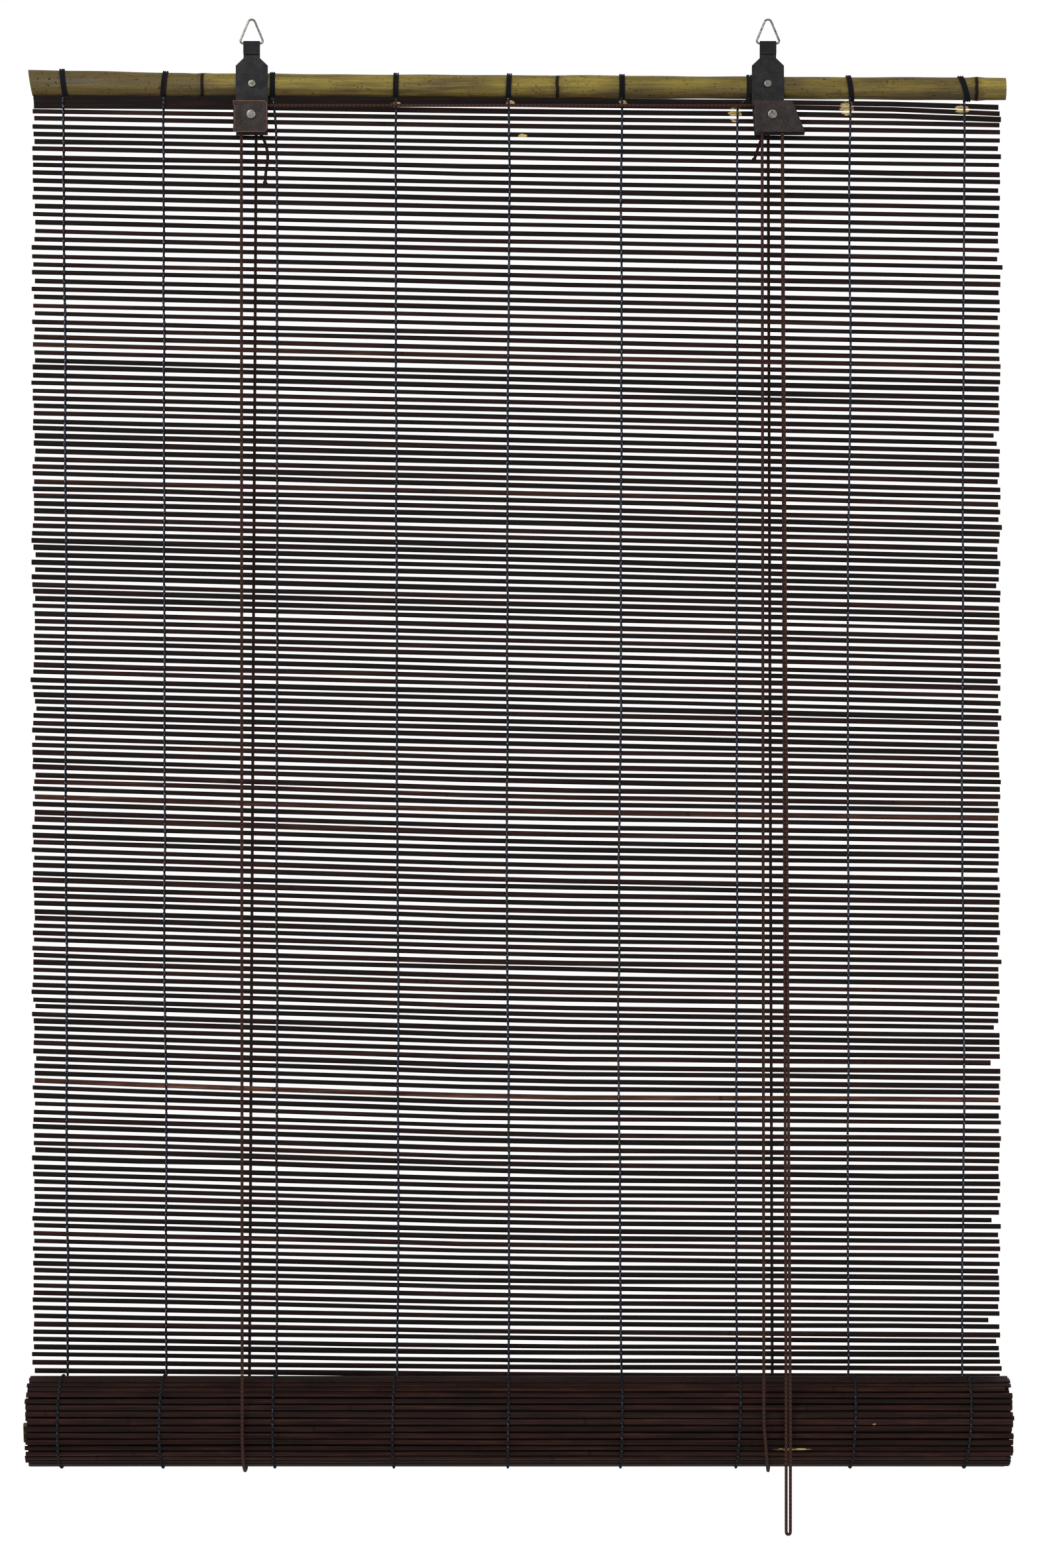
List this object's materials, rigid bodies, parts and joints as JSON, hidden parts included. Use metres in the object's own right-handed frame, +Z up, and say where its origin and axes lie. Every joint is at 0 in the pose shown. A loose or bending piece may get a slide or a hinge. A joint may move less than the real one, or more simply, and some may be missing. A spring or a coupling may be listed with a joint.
{
  "type": "bamboo roll up blind",
  "caption": "Roll up blind of stained bamboo sticks bound by warp threads, hung by two ringed straps, with a lift cord over two sheaves and a jam lock.",
  "frame": {"origin": "middle of the head rail's length and height, on its flat back, which lies against the wall", "axes": "+X along the sticks to the right of someone in the room, +Y to the wall, +Z up"},
  "size_m": [0.8097, 0.0873, 1.2404],
  "materials": {
    "stained_bamboo": "dark stain, satin",
    "natural_bamboo": "bare culm skin",
    "warp_thread": "twisted cotton",
    "lift_cord": "braided cord",
    "bronzed_sheet": "dark bronze, worn edges",
    "nickel": "nickel plate",
    "sheave_plastic": "moulded"
  },
  "bodies": {
    "head": {"head_rail": "natural_bamboo", "hanging_mat": "stained_bamboo", "warp_thread_1": "warp_thread", "warp_thread_2": "warp_thread", "warp_thread_3": "warp_thread", "warp_thread_4": "warp_thread", "warp_thread_5": "warp_thread", "warp_thread_6": "warp_thread", "warp_thread_7": "warp_thread", "warp_thread_8": "warp_thread", "warp_thread_9": "warp_thread", "left_bracket": "bronzed_sheet", "right_bracket": "bronzed_sheet", "left_hanger_rivet": "nickel", "left_sheave_rivet": "nickel", "right_hanger_rivet": "nickel", "right_sheave_rivet": "nickel", "left_front_cord": "lift_cord", "right_front_cord": "lift_cord", "left_back_cord": "lift_cord", "right_back_cord": "lift_cord", "pull_cord_strand_1": "lift_cord", "pull_cord_strand_2": "lift_cord", "cross_cord": "lift_cord", "lock_wrap_cord": "lift_cord", "pull_cord_loop": "lift_cord", "left_cord_knot": "lift_cord", "right_cord_knot": "lift_cord"},
    "left_ring": {"left_ring": "nickel"},
    "right_ring": {"right_ring": "nickel"},
    "lift_loops": {"left_lift_loop": "lift_cord", "right_lift_loop": "lift_cord"},
    "roll": {"rolled_mat": "stained_bamboo", "bottom_lath": "natural_bamboo"},
    "left_sheave": {"left_sheave": "sheave_plastic"},
    "right_sheave": {"right_sheave": "sheave_plastic"}
  },
  "joints": [
    {"name": "roll_lift", "type": "slide", "parent": "head", "child": "lift_loops", "axis": [0, 0, 1], "range_m": [0, 1], "deforming": ["hanging_mat", "warp_thread_1", "warp_thread_2", "warp_thread_3", "warp_thread_4", "warp_thread_5", "warp_thread_6", "warp_thread_7", "warp_thread_8", "warp_thread_9", "left_front_cord", "right_front_cord", "pull_cord_strand_1", "pull_cord_strand_2", "left_back_cord", "right_back_cord"]},
    {"name": "roll_turn", "type": "hinge", "parent": "lift_loops", "child": "roll", "pos_m": [0, -0.041, -1.0985], "axis": [1, 0, 0], "range_deg": [-1441, 0]},
    {"name": "left_ring_swing", "type": "hinge", "parent": "head", "child": "left_ring", "pos_m": [-0.219, -0.00908, 0.0344], "axis": [1, 0, 0], "range_deg": [-90, 90]},
    {"name": "right_ring_swing", "type": "hinge", "parent": "head", "child": "right_ring", "pos_m": [0.208, -0.00908, 0.0344], "axis": [1, 0, 0], "range_deg": [-90, 90]},
    {"name": "left_sheave_turn", "type": "hinge", "parent": "head", "child": "left_sheave", "pos_m": [-0.219, -0.0123, -0.0256], "axis": [0, 1, 0], "continuous": true},
    {"name": "right_sheave_turn", "type": "hinge", "parent": "head", "child": "right_sheave", "pos_m": [0.2112, -0.0123, -0.0256], "axis": [0, 1, 0], "continuous": true}
  ],
  "couplings": [
    {"joint": "roll_turn", "follows": "roll_lift", "rad_per_m": -25.133},
    {"joint": "left_sheave_turn", "follows": "roll_lift", "rad_per_m": 238.1},
    {"joint": "right_sheave_turn", "follows": "roll_lift", "rad_per_m": 238.1}
  ]
}
